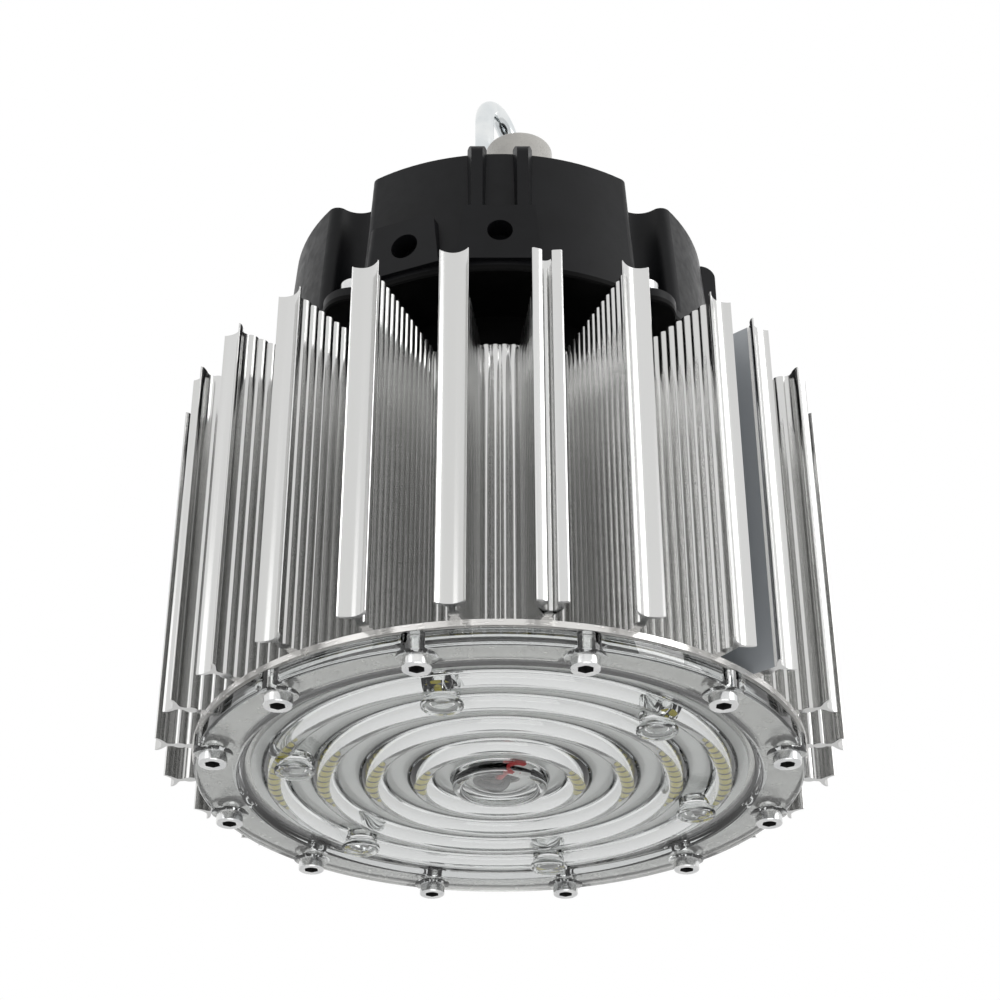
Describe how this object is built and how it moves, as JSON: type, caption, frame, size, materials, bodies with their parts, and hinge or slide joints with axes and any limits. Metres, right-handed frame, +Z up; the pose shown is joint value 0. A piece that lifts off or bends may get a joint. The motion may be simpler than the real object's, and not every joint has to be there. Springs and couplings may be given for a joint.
{
  "type": "high bay light",
  "caption": "Round hanging high bay light: clear ring lens, ribbed radial fin heat sink, lobed driver housing above and a hanging eye.",
  "frame": {"origin": "on the light's axis, in the plane of the lens posts and lens screw heads, which is what the light rests on when it is set down", "axes": "+Z up along the axis, from the lens to the hanging eye; -Y is the front, where the picture's camera looks from; the housing's rib pairs are at -Y and +X"},
  "size_m": [0.248, 0.248, 0.329],
  "materials": {
    "extrusion": "clear anodised, bright drawn extrusion",
    "bright_aluminium": "turned and polished",
    "board_white": "white solder mask",
    "led_yellow": "phosphor",
    "clear_plastic": "clear polished polycarbonate",
    "seal": "silicone",
    "screw_steel": "stainless",
    "lead_red": "PVC insulation",
    "lead_black": "PVC insulation",
    "housing_black": "fine satin powder coat on a die casting",
    "driver_case": "potted can",
    "eye_steel": "bright zinc plate",
    "gland_grey": "smooth grey polyamide"
  },
  "bodies": {
    "root": {"heat_sink": "extrusion", "base_plate": "bright_aluminium", "led_board": "board_white", "led_ring_1": "led_yellow", "led_ring_2": "led_yellow", "led_ring_3": "led_yellow", "led_ring_4": "led_yellow", "ring_lens": "clear_plastic", "lens_gasket": "seal", "lens_screws": "screw_steel", "board_screws": "screw_steel", "wire_terminal": "board_white", "red_lead": "lead_red", "black_lead": "lead_black", "neck": "housing_black", "neck_screws": "screw_steel", "housing_cover": "housing_black", "driver_housing": "housing_black", "housing_screws": "screw_steel", "housing_washers": "screw_steel", "driver": "driver_case", "driver_spacer": "driver_case", "eye_bolt": "eye_steel", "eye_nut": "eye_steel", "gland_body": "gland_grey", "gland_cap": "gland_grey", "gland_seal": "seal"}
  },
  "joints": []
}
